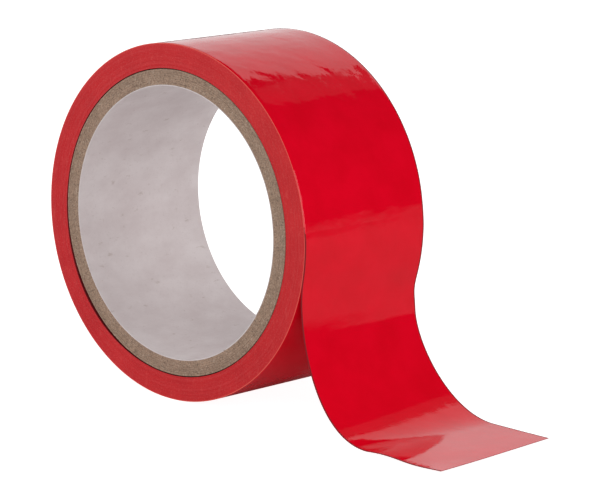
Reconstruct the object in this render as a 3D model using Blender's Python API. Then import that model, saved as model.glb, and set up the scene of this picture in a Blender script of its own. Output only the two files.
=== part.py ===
"""A roll of wide film tape, standing on its rim, with a length of tape peeled off it.

The tape is wound on a spiral-wound card tube: a white paper liner inside seven plies of grey board.
Each ply is a strip that winds round as a helix, so each is a tube with one helical butt seam.
The last stretch of tape leaves the roll at the peel line, hangs, flares out and lies flat.

The roll's axis runs along Y. The origin is on the surface that the roll stands on, below the
middle of its axis. The peeled tail reaches out along +X.
"""

import math

import bmesh
import bpy
from mathutils import Vector
from mathutils.geometry import interpolate_bezier

MM = 0.001

# Driving dimensions
TAPE_WIDTH = 48.0 * MM
ROLL_RADIUS = 50.0 * MM
BORE_RADIUS = 38.2 * MM
CORE_WALL = 4.6 * MM
LINER_THICKNESS = 0.25 * MM
BOARD_PLIES = 7
GLUE_LINE = 0.1 * MM
FILM_THICKNESS = 0.3 * MM
CLEARANCE = 0.3 * MM

# How the plies are wound
SEAM_LEAD = 109.0 * MM
SEAM_GAP = 0.5 * MM
SEAM_STAGGER = math.radians(137.5)
LINER_SEAM_ANGLE = math.radians(300)

# The roll is a prism with a facet, not an edge, at its lowest line
FACETS = 72
HALF_FACET = math.pi / FACETS
AXIS_HEIGHT = ROLL_RADIUS * math.cos(HALF_FACET)
AXIS_CENTRE = Vector((0, 0, AXIS_HEIGHT))

# The peeled tail, as seen along the roll's axis. Angles start at +X, and are positive upwards.
STUCK_FROM = math.radians(8)
PEEL_ANGLE = math.radians(-12)
STUCK_STEPS = 4
FILM_RADIUS = ROLL_RADIUS + CLEARANCE + FILM_THICKNESS / 2
WAIST = Vector((49.8 * MM, 0, 27.0 * MM))
WAIST_DIRECTION = Vector((0.22, 0, -0.975))
WAIST_HANDLES = (5 * MM, 12 * MM)
PEEL_HANDLE = 5 * MM
FOOT_START = Vector((76 * MM, 0, FILM_THICKNESS / 2))
FOOT_HANDLE = 16 * MM
TAIL_TIP = Vector((98.5 * MM, 0, FILM_THICKNESS / 2))
WAIST_STEPS = 5
FLARE_STEPS = 18
CURL_STEP = 8

SMOOTH_BELOW = math.radians(30)


def clear_scene():
    for obj in list(bpy.data.objects):
        bpy.data.objects.remove(obj)


def plain_material(name, colour, roughness):
    material = bpy.data.materials.new(name)
    material.use_nodes = True
    shader = material.node_tree.nodes["Principled BSDF"]
    shader.inputs["Base Color"].default_value = (*colour, 1)
    shader.inputs["Roughness"].default_value = roughness
    shader.inputs["Metallic"].default_value = 0
    return material


def add_object(name, mesh_in_progress, material=None):
    """A smooth-shaded object made from a bmesh, with its faces pointing out."""
    bmesh.ops.recalc_face_normals(mesh_in_progress, faces=mesh_in_progress.faces)
    mesh = bpy.data.meshes.new(name)
    mesh_in_progress.to_mesh(mesh)
    mesh_in_progress.free()
    mesh.shade_smooth()
    mesh.set_sharp_from_angle(angle=SMOOTH_BELOW)
    if material:
        mesh.materials.append(material)
    obj = bpy.data.objects.new(name, mesh)
    bpy.context.collection.objects.link(obj)
    return obj


def add_pivot(name, location):
    """An empty on a joint's axis."""
    pivot = bpy.data.objects.new(name, None)
    pivot.location = location
    bpy.context.collection.objects.link(pivot)
    return pivot


def around_axis(radius, angle, y=0.0):
    """A point measured from the roll's axis, at an angle that starts at +X."""
    return Vector((radius * math.cos(angle), y, radius * math.sin(angle)))


def ring(name, inner_radius, outer_radius, material):
    """A tube as wide as the tape, about the object's own Y axis."""
    half_width = TAPE_WIDTH / 2
    start = -math.pi / 2 + HALF_FACET
    section = bmesh.new()
    corners = [
        section.verts.new(around_axis(radius, start, y))
        for radius, y in (
            (inner_radius, -half_width),
            (outer_radius, -half_width),
            (outer_radius, half_width),
            (inner_radius, half_width),
        )
    ]
    edges = [section.edges.new((corners[i - 1], corners[i])) for i in range(4)]
    bmesh.ops.spin(
        section,
        geom=corners + edges,
        cent=(0, 0, 0),
        axis=(0, 1, 0),
        angle=2 * math.pi,
        steps=FACETS,
        use_merge=True,
    )
    return add_object(name, section, material)


def seam_cutter(name, inner_radius, outer_radius, seam_angle):
    """A thin helical fin that runs past both ends of the tube and both sides of its wall."""
    margin = 1 * MM
    start_y = -TAPE_WIDTH / 2 - margin
    run = TAPE_WIDTH + 2 * margin
    twist = 2 * math.pi * run / SEAM_LEAD
    steps = math.ceil(twist / (2 * HALF_FACET))
    fin = bmesh.new()
    section_before = None
    for step in range(steps + 1):
        share = step / steps
        angle = seam_angle + twist * share
        middle_radius = (inner_radius + outer_radius) / 2
        half_gap = SEAM_GAP / 2 / middle_radius
        section = [
            fin.verts.new(around_axis(radius, angle + side * half_gap, start_y + run * share))
            for radius, side in (
                (inner_radius - margin, -1),
                (outer_radius + margin, -1),
                (outer_radius + margin, 1),
                (inner_radius - margin, 1),
            )
        ]
        if section_before:
            for i in range(4):
                fin.faces.new((section_before[i - 1], section_before[i], section[i], section[i - 1]))
        if step in (0, steps):
            fin.faces.new(section)
        section_before = section
    cutter = add_object(name, fin)
    cutter.hide_render = True
    cutter.display_type = "WIRE"
    return cutter


def wound_ply(name, inner_radius, thickness, seam_angle, material, pivot):
    """One ply of the card tube, open along its helical butt seam."""
    ply = ring(name, inner_radius, inner_radius + thickness, material)
    cutter = seam_cutter(name + "_seam", inner_radius, inner_radius + thickness, seam_angle)
    cut = ply.modifiers.new("Seam", "BOOLEAN")
    cut.operation = "DIFFERENCE"
    cut.object = cutter
    ply.parent = pivot
    cutter.parent = pivot
    return ply


def build_core(pivot):
    """The card tube, from its liner out. Returns the radius of its outside."""
    board = plain_material("grey_board", (0.30, 0.25, 0.20), 0.95)
    liner = plain_material("white_paper", (0.72, 0.69, 0.71), 0.85)
    wound_ply("core_liner", BORE_RADIUS, LINER_THICKNESS, LINER_SEAM_ANGLE, liner, pivot)
    board_thickness = (CORE_WALL - LINER_THICKNESS) / BOARD_PLIES - GLUE_LINE
    radius = BORE_RADIUS + LINER_THICKNESS + GLUE_LINE
    for number in range(1, BOARD_PLIES + 1):
        seam_angle = LINER_SEAM_ANGLE + number * SEAM_STAGGER
        wound_ply(f"board_ply_{number}", radius, board_thickness, seam_angle, board, pivot)
        radius += board_thickness + GLUE_LINE
    return radius


def bezier(start, start_handle, end_handle, end, steps):
    return interpolate_bezier(start, start_handle, end_handle, end, steps + 1)


def tail_line():
    """The middle of the free tape from the peel line to its cut end, and the place of the curl line."""
    peel = AXIS_CENTRE + around_axis(FILM_RADIUS, PEEL_ANGLE)
    down_the_roll = Vector((math.sin(PEEL_ANGLE), 0, -math.cos(PEEL_ANGLE)))
    along_waist = WAIST_DIRECTION.normalized()
    upper = bezier(
        peel,
        peel + down_the_roll * PEEL_HANDLE,
        WAIST - along_waist * WAIST_HANDLES[0],
        WAIST,
        WAIST_STEPS,
    )
    flare = bezier(
        WAIST,
        WAIST + along_waist * WAIST_HANDLES[1],
        FOOT_START - Vector((FOOT_HANDLE, 0, 0)),
        FOOT_START,
        FLARE_STEPS,
    )
    return upper[:-1] + flare + [TAIL_TIP], WAIST_STEPS + CURL_STEP


def shortened(line, at_start, at_end):
    """The line with its ends drawn in, to leave the clearance between two stretches of film."""
    line = [point.copy() for point in line]
    if at_start:
        line[0] += (line[1] - line[0]).normalized() * at_start
    if at_end:
        line[-1] += (line[-2] - line[-1]).normalized() * at_end
    return line


def film(name, line, pivot, material):
    """A stretch of tape whose middle follows the line, seen along the roll's axis."""
    outline = []
    for side in (-1, 1):
        offset_line = []
        for i, point in enumerate(line):
            before = (point - line[i - 1]).normalized() if i else None
            after = (line[i + 1] - point).normalized() if i + 1 < len(line) else None
            along = ((before or after) + (after or before)).normalized()
            mitre = along.dot(after or before)
            across = Vector((along.z, 0, -along.x))
            offset_line.append(point + across * side * FILM_THICKNESS / 2 / mitre)
        outline += offset_line if side == 1 else offset_line[::-1]
    section = bmesh.new()
    near_edge = Vector((0, -TAPE_WIDTH / 2, 0))
    corners = [section.verts.new(p - pivot.location + near_edge) for p in outline]
    near_face = section.faces.new(corners)
    extruded = bmesh.ops.extrude_face_region(section, geom=[near_face])
    moved = [part for part in extruded["geom"] if isinstance(part, bmesh.types.BMVert)]
    bmesh.ops.translate(section, verts=moved, vec=(0, TAPE_WIDTH, 0))
    stretch = add_object(name, section, material)
    stretch.parent = pivot
    return stretch


def build_tape(core_outside, axis_pivot):
    red_film = plain_material("red_film", (0.62, 0.0, 0.012), 0.3)
    pack = ring("tape_pack", core_outside, ROLL_RADIUS, red_film)
    pack.parent = axis_pivot

    line, curl_at = tail_line()
    peel_pivot = add_pivot("peel_line", line[0])
    curl_pivot = add_pivot("curl_line", line[curl_at])

    stuck_sweep = PEEL_ANGLE - STUCK_FROM
    stuck = [
        AXIS_CENTRE + around_axis(FILM_RADIUS, STUCK_FROM + stuck_sweep * step / STUCK_STEPS)
        for step in range(STUCK_STEPS + 1)
    ]
    half_gap = CLEARANCE / 2
    film("tail_root_film", shortened(stuck, 0, half_gap), axis_pivot, red_film)
    film("tail_upper_film", shortened(line[: curl_at + 1], half_gap, half_gap), peel_pivot, red_film)
    film("tail_lower_film", shortened(line[curl_at:], half_gap, 0), curl_pivot, red_film)


def main():
    clear_scene()
    axis_pivot = add_pivot("roll_axis", AXIS_CENTRE)
    core_outside = build_core(axis_pivot)
    build_tape(core_outside, axis_pivot)


main()
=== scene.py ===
"""The looks of a roll of wide red film tape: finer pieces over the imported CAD, materials, light, camera.

Everything is in metres in the CAD's frame. The roll's axis runs along Y, and the tail leaves along +X.
Angles round the roll start at +X and are positive upwards.
"""

import math
import random

import bpy
from mathutils import Matrix, Vector
from mathutils.geometry import interpolate_bezier


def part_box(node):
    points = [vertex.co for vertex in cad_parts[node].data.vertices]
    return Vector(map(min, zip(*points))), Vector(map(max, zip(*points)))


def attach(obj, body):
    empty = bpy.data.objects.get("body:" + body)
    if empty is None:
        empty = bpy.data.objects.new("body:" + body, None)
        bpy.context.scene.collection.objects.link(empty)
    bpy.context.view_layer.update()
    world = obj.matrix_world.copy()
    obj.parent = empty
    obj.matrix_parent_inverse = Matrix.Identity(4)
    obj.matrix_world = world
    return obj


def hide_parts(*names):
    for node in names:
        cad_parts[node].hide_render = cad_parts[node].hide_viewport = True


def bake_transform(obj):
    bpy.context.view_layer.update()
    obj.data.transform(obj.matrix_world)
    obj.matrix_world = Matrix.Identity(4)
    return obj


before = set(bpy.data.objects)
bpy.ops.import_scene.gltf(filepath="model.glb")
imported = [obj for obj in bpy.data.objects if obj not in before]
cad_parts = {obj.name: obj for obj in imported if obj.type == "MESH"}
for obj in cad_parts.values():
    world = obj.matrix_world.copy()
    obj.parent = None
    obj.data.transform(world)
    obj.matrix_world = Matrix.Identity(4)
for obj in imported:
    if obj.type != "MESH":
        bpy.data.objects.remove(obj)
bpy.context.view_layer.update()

MM = 0.001

# Read from the frame
pack_low, pack_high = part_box("tape_pack")
HALF_WIDTH = pack_high[1]
AXIS_CENTRE = Vector((0, 0, (pack_low[2] + pack_high[2]) / 2))
TAIL_TIP_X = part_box("tail_lower_film")[1][0]

# The same driving dimensions as in the CAD
ROLL_RADIUS = 50.0 * MM
BORE_RADIUS = 38.2 * MM
LINER_THICKNESS = 0.25 * MM
BOARD_OUTSIDE = 42.8 * MM
BOARD_PLIES = 7
SEAM_LEAD = 109.0 * MM

# The film is as thin as the real one here, and thicker in the CAD
FILM_THICKNESS = 0.13 * MM

# Shading of what is turned or bent
SEGMENTS = 288
SMOOTH_BELOW = math.radians(40)


def around(radius, angle, y=0.0):
    """A point measured from the middle of the roll's axis."""
    return AXIS_CENTRE + Vector((radius * math.cos(angle), y, radius * math.sin(angle)))


# ---------------------------------------------------------------- materials


class Nodes:
    """A material's node tree, with short ways to add and join nodes."""

    def __init__(self, name):
        self.material = bpy.data.materials.new(name)
        self.material.use_nodes = True
        self.tree = self.material.node_tree
        self.shader = self.tree.nodes["Principled BSDF"]

    def add(self, kind, inputs=None, **settings):
        node = self.tree.nodes.new("ShaderNode" + kind)
        for key, value in settings.items():
            setattr(node, key, value)
        for key, value in (inputs or {}).items():
            if isinstance(value, bpy.types.NodeSocket):
                self.tree.links.new(value, node.inputs[key])
            else:
                node.inputs[key].default_value = value
        return node

    def link(self, socket, name):
        self.tree.links.new(socket, self.shader.inputs[name])

    def set(self, **values):
        for key, value in values.items():
            self.shader.inputs[key.replace("_", " ")].default_value = value

    def film_place(self):
        """Where a point is on the film: along it, and across it from its middle."""
        return self.add("UVMap", uv_map="film").outputs["UV"]

    def place(self):
        return self.add("TexCoord").outputs["Object"]

    def place_from_axis(self):
        """Where a point is from the middle of the roll's axis."""
        inputs = {"Vector": self.place(), "Location": tuple(-AXIS_CENTRE)}
        return self.add("Mapping", inputs).outputs["Vector"]

    def scaled(self, vector, scale):
        return self.add("Mapping", {"Vector": vector, "Scale": scale}).outputs["Vector"]

    def noise(self, vector, scale, detail=2.0, roughness=0.5, distortion=0.0):
        return self.add(
            "TexNoise",
            {
                "Vector": vector,
                "Scale": scale,
                "Detail": detail,
                "Roughness": roughness,
                "Distortion": distortion,
            },
        ).outputs["Fac"]

    def ramp(self, factor, low, high, to_low=0.0, to_high=1.0):
        """factor's span from low to high, spread over to_low to to_high and held at the ends."""
        return self.add(
            "MapRange",
            {
                "Value": factor,
                "From Min": low,
                "From Max": high,
                "To Min": to_low,
                "To Max": to_high,
            },
        ).outputs["Result"]

    def maths(self, operation, a, b=0.0):
        return self.add("Math", {0: a, 1: b}, operation=operation).outputs["Value"]

    def mix(self, factor, a, b):
        node = self.add("Mix", data_type="RGBA")
        for socket, value in ((0, factor), (6, a), (7, b)):
            if isinstance(value, bpy.types.NodeSocket):
                self.tree.links.new(value, node.inputs[socket])
            elif socket:
                node.inputs[socket].default_value = (*value, 1)
            else:
                node.inputs[socket].default_value = value
        return node.outputs[2]

    def bump(self, height, distance, strength=1.0, normal=None):
        inputs = {"Height": height, "Distance": distance, "Strength": strength}
        if normal:
            inputs["Normal"] = normal
        return self.add("Bump", inputs).outputs["Normal"]


def film_face(name, reds, ripple, both_edges):
    """The glossy outer face of the film, with a few specks of dust, and a rougher line at its cut edge that
    is darkened as painted shade.

    reds gives its share of red light on the roll and at the free end, where a lighter red is painted in for
    light that comes through it.
    ripple is the depth of its waves. The near edge is also made rougher and darkened as painted shade if
    both_edges is true.
    Along the film, u is 0 level with the roll's axis and falls towards the cut end.
    """
    dust_colour = (0.86, 0.30, 0.27)
    # The dark edge colour is painted shade along the film's edge
    edge_shade_colour = (0.10, 0.0, 0.003)
    edge_from, edge_to = HALF_WIDTH - 0.6 * MM, HALF_WIDTH - 0.3 * MM
    # The free end's lighter red is painted light, for light that comes through the single layer of film
    free_from, free_to = -25 * MM, -60 * MM

    n = Nodes(name)
    uv = n.film_place()
    along, across_film, _ = n.add("SeparateXYZ", {"Vector": uv}).outputs
    blotch = n.ramp(n.noise(uv, 90.0, 3.0), 0.35, 0.65)
    on_roll, free = (
        n.mix(blotch, (red - 0.03, 0.0006, 0.012), (red + 0.03, 0.0008, 0.015)) for red in reds
    )
    colour = n.mix(n.ramp(along, free_from, free_to), on_roll, free)

    dots = n.add("TexVoronoi", {"Vector": uv, "Scale": 85.0}, feature="F1").outputs["Distance"]
    chance = n.noise(uv, 60.0, 0.0)
    speck = n.maths("MULTIPLY", n.ramp(dots, 0.013, 0.022, 1.0, 0.0), n.ramp(chance, 0.52, 0.58))
    colour = n.mix(speck, colour, dust_colour)

    # Painted shade: the film is darkened towards its edge, which is also made rougher
    if both_edges:
        across_film = n.maths("ABSOLUTE", across_film)
    edge = n.ramp(across_film, edge_from, edge_to)
    n.link(n.mix(n.maths("MULTIPLY", edge, 0.75), colour, edge_shade_colour), "Base Color")
    haze = n.noise(n.scaled(uv, (1, 0.4, 1)), 260.0, 4.0, 0.6)
    gloss = n.ramp(haze, 0.3, 0.7, 0.05, 0.085)
    n.link(n.maths("ADD", gloss, n.maths("MULTIPLY", edge, 0.5)), "Roughness")
    n.set(IOR=1.38)

    long_wave = n.noise(n.scaled(uv, (1.0, 0.25, 1)), 45.0, 1.0)
    waves = n.noise(n.scaled(uv, (1.0, 0.8, 1)), 165.0, 2.0, 0.45, 0.35)
    across = n.noise(n.scaled(uv, (1.0, 0.12, 1)), 420.0, 2.0)
    grain = n.noise(uv, 1300.0, 2.0)
    normal = n.bump(long_wave, 0.25 * MM, 0.5)
    normal = n.bump(waves, ripple, 1.0, normal)
    normal = n.bump(across, 0.012 * MM, 0.8, normal)
    normal = n.bump(grain, 0.011 * MM, 1.0, normal)
    n.link(normal, "Normal")
    return n.material


def film_adhesive():
    """The tacky face that was against the turn below: duller, with a faint orange-peel."""
    n = Nodes("red_film_adhesive")
    uv = n.film_place()
    patch = n.noise(uv, 120.0, 4.0, 0.6)
    n.link(n.mix(n.ramp(patch, 0.35, 0.7), (0.56, 0.008, 0.018), (0.62, 0.018, 0.028)), "Base Color")
    n.link(n.ramp(patch, 0.3, 0.7, 0.28, 0.36), "Roughness")
    n.set(IOR=1.45)
    peel = n.noise(uv, 1500.0, 3.0)
    n.link(n.bump(peel, 0.03 * MM, 0.6), "Normal")
    return n.material


def painted_shade_film(name, colour):
    """Film painted dark as painted shade, where little light reaches it: its thin cut edge, and the
    innermost turn.
    """
    lighter = tuple(c * 1.4 for c in colour)
    n = Nodes(name)
    patch = n.noise(n.place(), 700.0, 3.0, 0.6)
    n.link(n.mix(n.ramp(patch, 0.35, 0.65), colour, lighter), "Base Color")
    n.set(Roughness=0.6, Specular_IOR_Level=0.2)
    return n.material


def slit_edges():
    """The side of the wound tape: the slit edges of its turns, as fine concentric rings."""
    dark, light = (0.49, 0.007, 0.013), (0.66, 0.020, 0.024)
    scuff_colour = (0.72, 0.10, 0.09)
    dust_colour = (0.72, 0.10, 0.10)
    # The rim colour is partly the film's stretched, whitened edge and partly a painted highlight where the
    # last turn's edge catches the light
    rim_whitening_and_highlight_colour = (0.86, 0.15, 0.11)
    rim_from, rim_to = ROLL_RADIUS - 0.32 * MM, ROLL_RADIUS - 0.18 * MM

    n = Nodes("red_film_slit_edges")
    flat = n.scaled(n.place_from_axis(), (1, 0, 1))
    radius = n.add("VectorMath", {0: flat}, operation="LENGTH").outputs["Value"]
    by_turn = n.add("CombineXYZ", {"X": radius}).outputs["Vector"]
    turns = n.noise(by_turn, 5200.0, 2.0, 0.7)
    bands = n.noise(by_turn, 1300.0, 2.0, 0.6)
    wander = n.noise(flat, 70.0, 3.0, 0.6)
    scuff = n.noise(n.scaled(flat, (1.0, 1.0, 0.35)), 900.0, 4.0, 0.7)
    dust = n.noise(flat, 2300.0, 2.0, 0.6)
    lightness = n.maths("ADD", n.ramp(turns, 0.3, 0.7, 0.0, 0.3), n.ramp(bands, 0.3, 0.7, 0.0, 0.2))
    lightness = n.maths("ADD", lightness, n.ramp(wander, 0.3, 0.7, 0.0, 0.5))
    colour = n.mix(lightness, dark, light)
    colour = n.mix(n.ramp(scuff, 0.55, 0.75, 0.0, 0.45), colour, scuff_colour)
    colour = n.mix(n.ramp(dust, 0.50, 0.70, 0.0, 0.38), colour, dust_colour)
    # Painted highlight and whitening along the outer rim, lighter towards the outside
    colour = n.mix(n.ramp(radius, rim_from, rim_to, 0.0, 0.7), colour, rim_whitening_and_highlight_colour)
    n.link(colour, "Base Color")
    n.link(n.ramp(scuff, 0.3, 0.7, 0.45, 0.6), "Roughness")
    n.set(Specular_IOR_Level=0.22)
    normal = n.bump(turns, 0.03 * MM, 0.5)
    normal = n.bump(bands, 0.03 * MM, 0.4, normal)
    normal = n.bump(scuff, 0.04 * MM, 0.6, normal)
    n.link(normal, "Normal")
    return n.material


def grey_board(name, shade):
    """Chipboard made from waste paper: grey-brown, with short pale and dark fibres."""
    middling = (0.405, 0.273, 0.198)
    dark, light = (tuple(c * shade * share for c in middling) for share in (0.9, 1.1))
    grain_colour = tuple(c * 0.55 for c in middling)
    pale_fibre, dark_fibre = (0.66, 0.55, 0.45), (0.10, 0.07, 0.05)

    n = Nodes(name)
    place = n.place()
    fibres = n.noise(n.scaled(place, (1.0, 1.0, 0.6)), 2200.0, 4.0, 0.75, 0.4)
    crossed = n.noise(n.scaled(place, (0.6, 1.0, 1.0)), 2400.0, 3.0, 0.7, 0.3)
    cloud = n.noise(place, 260.0, 3.0)
    grain = n.noise(place, 2700.0, 2.0, 0.6)
    colour = n.mix(n.ramp(cloud, 0.3, 0.7), dark, light)
    colour = n.mix(n.ramp(grain, 0.38, 0.62, 0.0, 0.75), colour, grain_colour)
    colour = n.mix(n.ramp(fibres, 0.54, 0.72, 0.0, 0.6), colour, pale_fibre)
    colour = n.mix(n.ramp(crossed, 0.54, 0.70, 0.0, 0.8), colour, dark_fibre)
    n.link(colour, "Base Color")
    n.set(Roughness=0.92, Specular_IOR_Level=0.2)
    normal = n.bump(fibres, 0.12 * MM, 0.7)
    n.link(n.bump(crossed, 0.08 * MM, 0.6, normal), "Normal")
    return n.material


def white_paper():
    """The liner's machine-glazed white paper, with faint mottling and the dark line of its butt seam."""
    dark, light = (0.675, 0.600, 0.600), (0.755, 0.690, 0.690)
    grain_colour, fleck_colour, seam_colour = (0.55, 0.48, 0.46), (0.42, 0.33, 0.29), (0.25, 0.20, 0.17)
    seam_angle = math.radians(303)

    n = Nodes("white_paper_liner")
    x, y, z = n.add("SeparateXYZ", {"Vector": n.place_from_axis()}).outputs
    turn = n.maths("MULTIPLY", n.maths("ADD", y, HALF_WIDTH), 2 * math.pi / SEAM_LEAD)
    from_seam = n.maths("SUBTRACT", n.maths("ARCTAN2", z, x), n.maths("ADD", turn, seam_angle))
    # A cosine this near to 1 is within 0.01 radian of the seam, or 0.4 mm
    seam = n.ramp(n.maths("COSINE", from_seam), 1 - 5e-5, 1 - 2e-5, 0.0, 0.75)

    place = n.place()
    mottle = n.noise(n.scaled(place, (1.0, 0.6, 1.0)), 130.0, 5.0, 0.65)
    grain = n.noise(place, 1400.0, 3.0, 0.6)
    fleck = n.noise(n.scaled(place, (1.0, 0.5, 1.0)), 620.0, 3.0, 0.6)
    colour = n.mix(n.ramp(mottle, 0.35, 0.65), dark, light)
    colour = n.mix(n.ramp(grain, 0.58, 0.75, 0.0, 0.35), colour, grain_colour)
    colour = n.mix(n.ramp(fleck, 0.64, 0.74, 0.0, 0.4), colour, fleck_colour)
    n.link(n.mix(seam, colour, seam_colour), "Base Color")
    n.set(Roughness=0.68, Specular_IOR_Level=0.3)
    normal = n.bump(mottle, 0.10 * MM, 0.4)
    n.link(n.bump(grain, 0.02 * MM, 0.5, normal), "Normal")
    return n.material


# ---------------------------------------------------------------- pieces


def add_piece(name, verts, faces, materials, face_materials=None, uvs=None):
    """A smooth-shaded object. uvs gives one (u, v) per corner, in the order of the faces' corners."""
    mesh = bpy.data.meshes.new(name)
    mesh.from_pydata([tuple(v) for v in verts], [], faces)
    for material in materials:
        mesh.materials.append(material)
    if face_materials:
        mesh.polygons.foreach_set("material_index", face_materials)
    if uvs:
        layer = mesh.uv_layers.new(name="film")
        layer.data.foreach_set("uv", [value for uv in uvs for value in uv])
    mesh.validate()
    mesh.shade_smooth()
    mesh.set_sharp_from_angle(angle=SMOOTH_BELOW)
    obj = bpy.data.objects.new(name, mesh)
    bpy.context.collection.objects.link(obj)
    return obj


def turned(name, section, materials, section_materials=None, spread=None):
    """A closed ring turned round the roll's axis. The section is a loop of (radius, y) points.

    The loop runs out across the front, then back along the outside, so that its faces point out.
    spread(radius, angle) says how far a point of the section moves outward.
    """
    count = len(section)
    verts = []
    for step in range(SEGMENTS):
        angle = 2 * math.pi * step / SEGMENTS
        for radius, y in section:
            out = spread(radius, angle) if spread else 0.0
            verts.append(around(radius + out, angle, y))
    faces, slots, uvs = [], [], []
    for step in range(SEGMENTS):
        here = step * count
        there = (step + 1) % SEGMENTS * count
        start = 2 * math.pi * step / SEGMENTS * ROLL_RADIUS
        end = 2 * math.pi * (step + 1) / SEGMENTS * ROLL_RADIUS
        for i in range(count):
            j = (i + 1) % count
            faces.append((here + i, here + j, there + j, there + i))
            slots.append(section_materials[i] if section_materials else 0)
            uvs += [
                (start, section[i][1]),
                (start, section[j][1]),
                (end, section[j][1]),
                (end, section[i][1]),
            ]
    return add_piece(name, verts, faces, materials, slots, uvs)


def rounded_ring(inner, outer, half_width, edge):
    """The section of a ring whose corners are eased by a small chamfer."""
    return [
        (inner, -half_width + edge),
        (inner + edge, -half_width),
        (outer - edge, -half_width),
        (outer, -half_width + edge),
        (outer, half_width - edge),
        (outer - edge, half_width),
        (inner + edge, half_width),
        (inner, half_width - edge),
    ]


# The core: how far its corners are eased, and how far a ply's end may lie below the liner's
LINER_EASE = 0.06 * MM
BOARD_EASE = 0.05 * MM
HALF_GLUE_LINE = 0.005 * MM
DEEPEST_RECESS = 0.05 * MM


def build_core():
    """The liner and the plies of board, which meet with no gap to be seen."""
    liner = turned(
        "liner_paper",
        rounded_ring(BORE_RADIUS, BORE_RADIUS + LINER_THICKNESS, HALF_WIDTH, LINER_EASE),
        [white_paper()],
    )
    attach(liner, "roll")
    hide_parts("core_liner")
    shades = random.Random(5)
    ply = (BOARD_OUTSIDE - BORE_RADIUS - LINER_THICKNESS) / BOARD_PLIES
    for number in range(1, BOARD_PLIES + 1):
        inner = BORE_RADIUS + LINER_THICKNESS + (number - 1) * ply
        outer = inner + ply
        half_width = HALF_WIDTH - shades.uniform(0.0, DEEPEST_RECESS)
        board = turned(
            f"board_{number}",
            rounded_ring(inner + HALF_GLUE_LINE, outer - HALF_GLUE_LINE, half_width, BOARD_EASE),
            [grey_board(f"grey_board_{number}", shades.uniform(0.94, 1.06))],
        )
        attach(board, "roll")
        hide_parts(f"board_ply_{number}")


# The wound tape. On its sides, every two turns stand out or in together by a small step.
FIRST_TURN_RADIUS = BOARD_OUTSIDE + 0.25 * MM
STEP_PITCH = 2 * FILM_THICKNESS
STEP_SCATTER = 0.018 * MM
STEP_SHARE = 0.85
PACK_ROWS = 48
RIM_EASE = 0.12 * MM
RIM_CORNER_RADIUS = ROLL_RADIUS - 0.04 * MM
RIM_CORNER_Y = HALF_WIDTH - 0.02 * MM

# The first turns stand off the core at the lower left, by the gap, and less to both sides of there
LOOSE_ANGLE = math.radians(218)
LOOSE_SPAN = math.radians(26)
LOOSE_GAP = 0.65 * MM


def loose_turns(radius, angle):
    """How far a turn stands off the core: most for the first turn, and nothing for the last."""
    away = (angle - LOOSE_ANGLE) / LOOSE_SPAN
    share_out = (ROLL_RADIUS - radius) / (ROLL_RADIUS - FIRST_TURN_RADIUS)
    return LOOSE_GAP * math.exp(-away * away) * share_out


def build_wound_tape():
    """The wound tape: a smooth outer face, and sides where the turns stand a little in or out."""
    depth = ROLL_RADIUS - RIM_EASE - FIRST_TURN_RADIUS
    steps = int((ROLL_RADIUS - FIRST_TURN_RADIUS) / STEP_PITCH)
    offsets = random.Random(11)
    side = []
    for step in range(steps):
        offset = offsets.gauss(0.0, STEP_SCATTER)
        start = FIRST_TURN_RADIUS + depth * step / steps
        end = FIRST_TURN_RADIUS + depth * (step + STEP_SHARE) / steps
        side += [(start, offset), (end, offset)]
    front = [(radius, -HALF_WIDTH + offset) for radius, offset in side]
    back = [(radius, HALF_WIDTH + offset) for radius, offset in side]
    rows = [(-1 + 2 * i / PACK_ROWS) * (HALF_WIDTH - RIM_EASE) for i in range(PACK_ROWS + 1)]
    outer = [(ROLL_RADIUS, y) for y in rows]
    section = front + [(RIM_CORNER_RADIUS, -RIM_CORNER_Y)] + outer
    section += [(RIM_CORNER_RADIUS, RIM_CORNER_Y)] + back[::-1]
    face, edge, inside = range(3)
    slots = [edge] * len(front) + [face] * (len(outer) + 1) + [edge] * len(back) + [inside]
    materials = [
        film_face("red_film_roll", (0.70, 0.70), 0.20 * MM, both_edges=False),
        slit_edges(),
        # The innermost turn's dark red is painted shade in the gap by the core
        painted_shade_film("red_film_innermost_painted_shade", (0.15, 0.009, 0.011)),
    ]
    pack = turned("wound_tape", section, materials, slots, loose_turns)
    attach(pack, "roll")
    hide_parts("tape_pack")


# The peeled tail, from where it leaves the roll: peel line, waist, landing, crease and cut end.
# side is -1 at its near edge, y = -HALF_WIDTH, and 1 at its far edge. A pair gives a value in the
# middle of the film's width, and what it gains from there to the far edge.
STUCK_FROM = math.radians(8)
STUCK_SUNK = 0.2 * FILM_THICKNESS
STUCK_RISE = 0.9 * FILM_THICKNESS
STUCK_RISE_SHARE = 0.25
PEEL_ANGLE = (math.radians(-12), math.radians(-3))
WAIST_X = (49.25 * MM, -1.15 * MM)
WAIST_Z = 27.0 * MM
WAIST_LEAN = (math.radians(9), math.radians(-3))
WAIST_HANDLE = 5 * MM
FLARE_HANDLE_MM = (9, 1)
LANDING_X = (76 * MM, 2 * MM)
LANDING_Z = (0.40 * MM, -0.25 * MM)
LANDING_HANDLE = 15.5 * MM
FOOT_HANDLE = 4 * MM
CREASE_X = (TAIL_TIP_X - 9.0 * MM, -1.4 * MM)
CREASE_Z = (0.5 * MM, -0.35 * MM)
CREASE_HANDLE = 2 * MM
TIP_X = (TAIL_TIP_X, -1.4 * MM)
TIP_Z = (0.45 * MM, -0.25 * MM)
TIP_HANDLE_SHARE = 0.4
RIPPLE = 0.3 * MM
RIPPLE_WAVES = 1.15

# Rows of the tail's mesh along each stretch, its columns, and the row where it is cut into two pieces
STUCK_STEPS = 24
PEEL_STEPS = 24
FLARE_STEPS = 44
FOOT_STEPS = 16
TIP_STEPS = 12
TAIL_COLUMNS = 48
CURL_ROW = STUCK_STEPS + PEEL_STEPS + 4

# The tail's material slots
OUTER, ADHESIVE, CUT_EDGE = range(3)


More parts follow.
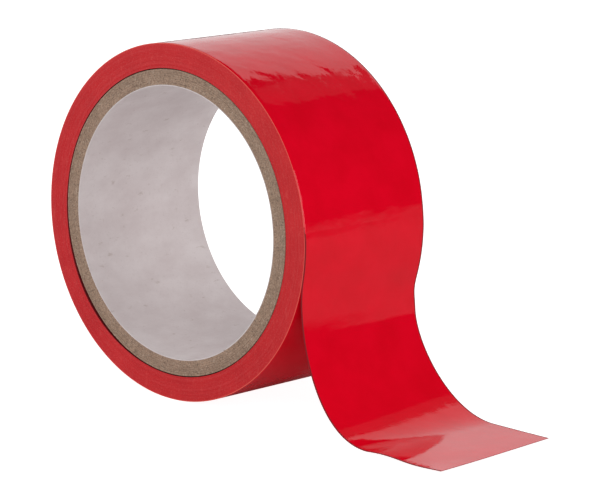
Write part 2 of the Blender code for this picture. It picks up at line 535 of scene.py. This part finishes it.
def bezier(start, start_handle, end_handle, end, steps):
    return interpolate_bezier(start, start_handle, end_handle, end, steps + 1)


def across(pair, side):
    """The value of a pair at one place across the film."""
    return pair[0] + pair[1] * side


def stuck_line(peel_angle):
    """The film on the roll. It rises out of the turn below, so that its start doesn't show."""
    skin = ROLL_RADIUS - FILM_THICKNESS / 2
    line = []
    for step in range(STUCK_STEPS + 1):
        share = step / STUCK_STEPS
        lift = STUCK_RISE * min(1.0, share / STUCK_RISE_SHARE) ** 2 - STUCK_SUNK
        line.append(around(skin + lift, STUCK_FROM + (peel_angle - STUCK_FROM) * share))
    return line


def tail_line(side):
    """The film's middle surface at one place across its width, from the roll to its cut end."""
    peel_angle = across(PEEL_ANGLE, side)
    lean = across(WAIST_LEAN, side)
    down = Vector((math.sin(peel_angle), 0, -math.cos(peel_angle)))
    along = Vector((math.sin(lean), 0, -math.cos(lean)))
    flat = Vector((1, 0, 0))

    stuck = stuck_line(peel_angle)
    peel = stuck[-1]
    waist = Vector((across(WAIST_X, side), 0, WAIST_Z))
    landing = Vector((across(LANDING_X, side), 0, across(LANDING_Z, side)))
    crease = Vector((across(CREASE_X, side), 0, across(CREASE_Z, side)))
    tip = Vector((across(TIP_X, side), 0, across(TIP_Z, side)))

    line = stuck[:-1]
    line += bezier(
        peel, peel + down * WAIST_HANDLE, waist - along * WAIST_HANDLE, waist, PEEL_STEPS
    )[:-1]
    line += bezier(
        waist,
        waist + along * across(FLARE_HANDLE_MM, side) * MM,
        landing - flat * LANDING_HANDLE,
        landing,
        FLARE_STEPS,
    )[:-1]
    line += bezier(
        landing, landing + flat * FOOT_HANDLE, crease - flat * FOOT_HANDLE, crease, FOOT_STEPS
    )[:-1]
    line += bezier(
        crease, crease + flat * CREASE_HANDLE, tip - (tip - crease) * TIP_HANDLE_SHARE, tip, TIP_STEPS
    )

    near = max(0.0, -side) ** 2
    for point in line:
        share = (point.x - landing.x) / (tip.x - landing.x)
        if share > 0:
            point.z += RIPPLE * near * math.sin(2 * math.pi * RIPPLE_WAVES * share)
    return line


def film_sheet(lines, first, last, arc):
    """The stretch of film from one row of the lines to another, as a closed thin sheet.

    arc is how far along the film its first row is. Returns what add_piece takes, and its last arc.
    """
    rows, columns = last - first + 1, len(lines)
    grid = []
    for column, line in enumerate(lines):
        y = HALF_WIDTH * (-1 + 2 * column / (columns - 1))
        grid.append([Vector((p.x, y, p.z)) for p in line])
    middle = grid[columns // 2]
    outer, inner, arcs = [], [], []
    for row in range(first, last + 1):
        if row > first:
            arc += (middle[row] - middle[row - 1]).length
        arcs.append(arc)
        for column in range(columns):
            line = grid[column]
            before = line[max(row - 1, 0)]
            after = line[min(row + 1, len(line) - 1)]
            left = grid[max(column - 1, 0)][row]
            right = grid[min(column + 1, columns - 1)][row]
            normal = (after - before).cross(right - left).normalized() * FILM_THICKNESS / 2
            outer.append(line[row] + normal)
            inner.append(line[row] - normal)
    verts = outer + inner
    under = len(outer)
    faces, slots, uvs = [], [], []

    def corner_uv(vert):
        vert %= under
        y = HALF_WIDTH * (-1 + 2 * (vert % columns) / (columns - 1))
        return -arcs[vert // columns], y

    def add_face(corners, slot):
        faces.append(corners)
        slots.append(slot)
        uvs.extend(corner_uv(v) for v in corners)

    for row in range(rows - 1):
        for column in range(columns - 1):
            a = row * columns + column
            b, c, d = a + 1, a + columns + 1, a + columns
            add_face((a, d, c, b), OUTER)
            add_face((a + under, b + under, c + under, d + under), ADHESIVE)
        for column, flip in ((0, False), (columns - 1, True)):
            a = row * columns + column
            d = a + columns
            corners = (a, a + under, d + under, d)
            add_face(corners[::-1] if flip else corners, CUT_EDGE)
    for row, flip in ((0, True), (rows - 1, False)):
        for column in range(columns - 1):
            a = row * columns + column
            corners = (a, a + under, a + 1 + under, a + 1)
            add_face(corners[::-1] if flip else corners, CUT_EDGE)
    return verts, faces, slots, uvs, arcs[-1]


def build_tail():
    """Two stretches of film: one bends at the peel line, and the other where the tail curls."""
    lines = [tail_line(-1 + 2 * i / TAIL_COLUMNS) for i in range(TAIL_COLUMNS + 1)]
    last_row = len(lines[0]) - 1
    arc = -ROLL_RADIUS * STUCK_FROM
    materials = [
        # The 0.80 red at the free end is painted light, for light coming through the film
        film_face("red_film_tail", (0.70, 0.80), 0.07 * MM, both_edges=True),
        film_adhesive(),
        # The cut edge's dark red is painted shade
        painted_shade_film("red_film_cut_edge_painted_shade", (0.22, 0.003, 0.008)),
    ]
    pieces = []
    for name, first, last in (
        ("tail_film_upper", 0, CURL_ROW),
        ("tail_film_lower", CURL_ROW, last_row),
    ):
        start_arc = arc
        verts, faces, slots, uvs, arc = film_sheet(lines, first, last, start_arc)
        piece = add_piece(name, verts, faces, materials, slots, uvs)
        pieces.append((piece, arc - start_arc))
    (upper, upper_length), (lower, lower_length) = pieces
    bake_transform(upper)
    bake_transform(lower)
    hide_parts("tail_root_film", "tail_upper_film")
    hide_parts("tail_lower_film")


# ---------------------------------------------------------------- stage, light and camera

# The floor and the far studio are pale to look at, but don't wash out what the glossy film reflects
FLOOR_REACH = 6.0
FLOOR_DROP = 0.05 * MM
FLOOR_GLOW = 0.95
FLOOR_BOUNCE = 0.37
STUDIO_FILL = 0.32
DARK_STUDIO = 0.02

CAMERA_AZIMUTH = math.radians(42.89)
CAMERA_ELEVATION = math.radians(12.235)
CAMERA_ROLL = math.radians(1.618)
CAMERA_DISTANCE = 0.8504
CAMERA_LENS = 181.0
SENSOR_WIDTH = 36
AIM_RIGHT = 18.7 * MM
AIM_UP = -10.6 * MM


def build_camera():
    """A long lens, turned a little about its own axis, as in the photograph."""
    back = Vector(
        (
            math.sin(CAMERA_AZIMUTH) * math.cos(CAMERA_ELEVATION),
            -math.cos(CAMERA_AZIMUTH) * math.cos(CAMERA_ELEVATION),
            math.sin(CAMERA_ELEVATION),
        )
    )
    level_right = Vector((math.cos(CAMERA_AZIMUTH), math.sin(CAMERA_AZIMUTH), 0))
    level_up = back.cross(level_right)
    right = level_right * math.cos(CAMERA_ROLL) + level_up * math.sin(CAMERA_ROLL)
    up = level_up * math.cos(CAMERA_ROLL) - level_right * math.sin(CAMERA_ROLL)
    data = bpy.data.cameras.new("camera")
    data.lens = CAMERA_LENS
    data.sensor_width = SENSOR_WIDTH
    camera = bpy.data.objects.new("camera", data)
    bpy.context.collection.objects.link(camera)
    place = AXIS_CENTRE + right * AIM_RIGHT + up * AIM_UP + back * CAMERA_DISTANCE
    turn = Matrix((right, up, back)).transposed()
    camera.matrix_world = Matrix.Translation(place) @ turn.to_4x4()
    bpy.context.scene.camera = camera


def add_panel(name, azimuth, elevation, distance, size, watts):
    """A soft panel that faces the roll. Azimuth 0 is behind the roll, at +Y, and 90 is at +X."""
    azimuth, elevation = math.radians(azimuth), math.radians(elevation)
    data = bpy.data.lights.new(name, "AREA")
    data.shape = "RECTANGLE"
    data.size, data.size_y = size
    data.energy = watts
    panel = bpy.data.objects.new(name, data)
    bpy.context.collection.objects.link(panel)
    outward = Vector(
        (
            math.sin(azimuth) * math.cos(elevation),
            math.cos(azimuth) * math.cos(elevation),
            math.sin(elevation),
        )
    )
    panel.location = AXIS_CENTRE + outward * distance
    panel.rotation_euler = outward.to_track_quat("Z", "Y").to_euler()
    panel.visible_camera = False


def build_floor():
    """A pale floor that the camera sees as bright, and that film reflects as dim."""
    corners = [(-1, -1), (1, -1), (1, 1), (-1, 1)]
    verts = [(x * FLOOR_REACH, y * FLOOR_REACH, -FLOOR_DROP) for x, y in corners]
    n = Nodes("pale_floor")
    n.set(Base_Color=(0.5, 0.5, 0.5, 1), Roughness=0.9, Specular_IOR_Level=0.0)
    n.set(Emission_Color=(1, 1, 1, 1))
    rays = n.add("LightPath").outputs
    glow = n.maths("MULTIPLY", rays["Is Camera Ray"], FLOOR_GLOW)
    bounce = n.maths("MULTIPLY", rays["Is Diffuse Ray"], FLOOR_BOUNCE)
    n.link(n.maths("ADD", glow, bounce), "Emission Strength")
    floor = add_piece("floor", verts, [(0, 1, 2, 3)], [n.material])


def build_panels():
    add_panel("backdrop_panel", azimuth=-33.5, elevation=23, distance=1.5, size=(1.56, 1.24), watts=5.9)
    add_panel("backdrop_edge_panel", azimuth=-0.5, elevation=27, distance=1.5, size=(0.32, 1.1), watts=0.17)
    add_panel("key_panel", azimuth=135, elevation=28, distance=1.3, size=(1.0, 1.0), watts=6.6)
    add_panel("right_panel", azimuth=76, elevation=12, distance=1.3, size=(0.7, 0.9), watts=5.5)
    add_panel("left_panel", azimuth=230, elevation=20, distance=1.3, size=(1.0, 1.0), watts=4.8)


def build_studio():
    """A surround that is white to the camera, a mild fill to matt faces and dark to glossy ones."""
    world = bpy.data.worlds.new("world")
    bpy.context.scene.world = world
    world.use_nodes = True
    tree = world.node_tree
    background = tree.nodes["Background"]
    background.inputs["Color"].default_value = (1, 1, 1, 1)
    path = tree.nodes.new("ShaderNodeLightPath")
    fill = tree.nodes.new("ShaderNodeMapRange")
    fill.inputs["To Min"].default_value = DARK_STUDIO
    fill.inputs["To Max"].default_value = STUDIO_FILL
    strength = tree.nodes.new("ShaderNodeMapRange")
    tree.links.new(path.outputs["Is Diffuse Ray"], fill.inputs["Value"])
    tree.links.new(path.outputs["Is Camera Ray"], strength.inputs["Value"])
    tree.links.new(fill.outputs["Result"], strength.inputs["To Min"])
    tree.links.new(strength.outputs["Result"], background.inputs["Strength"])

    view = bpy.context.scene.view_settings
    view.view_transform = "Standard"
    view.look = "None"


def main():
    build_core()
    build_wound_tape()
    build_tail()
    build_floor()
    build_panels()
    build_studio()
    build_camera()


main()
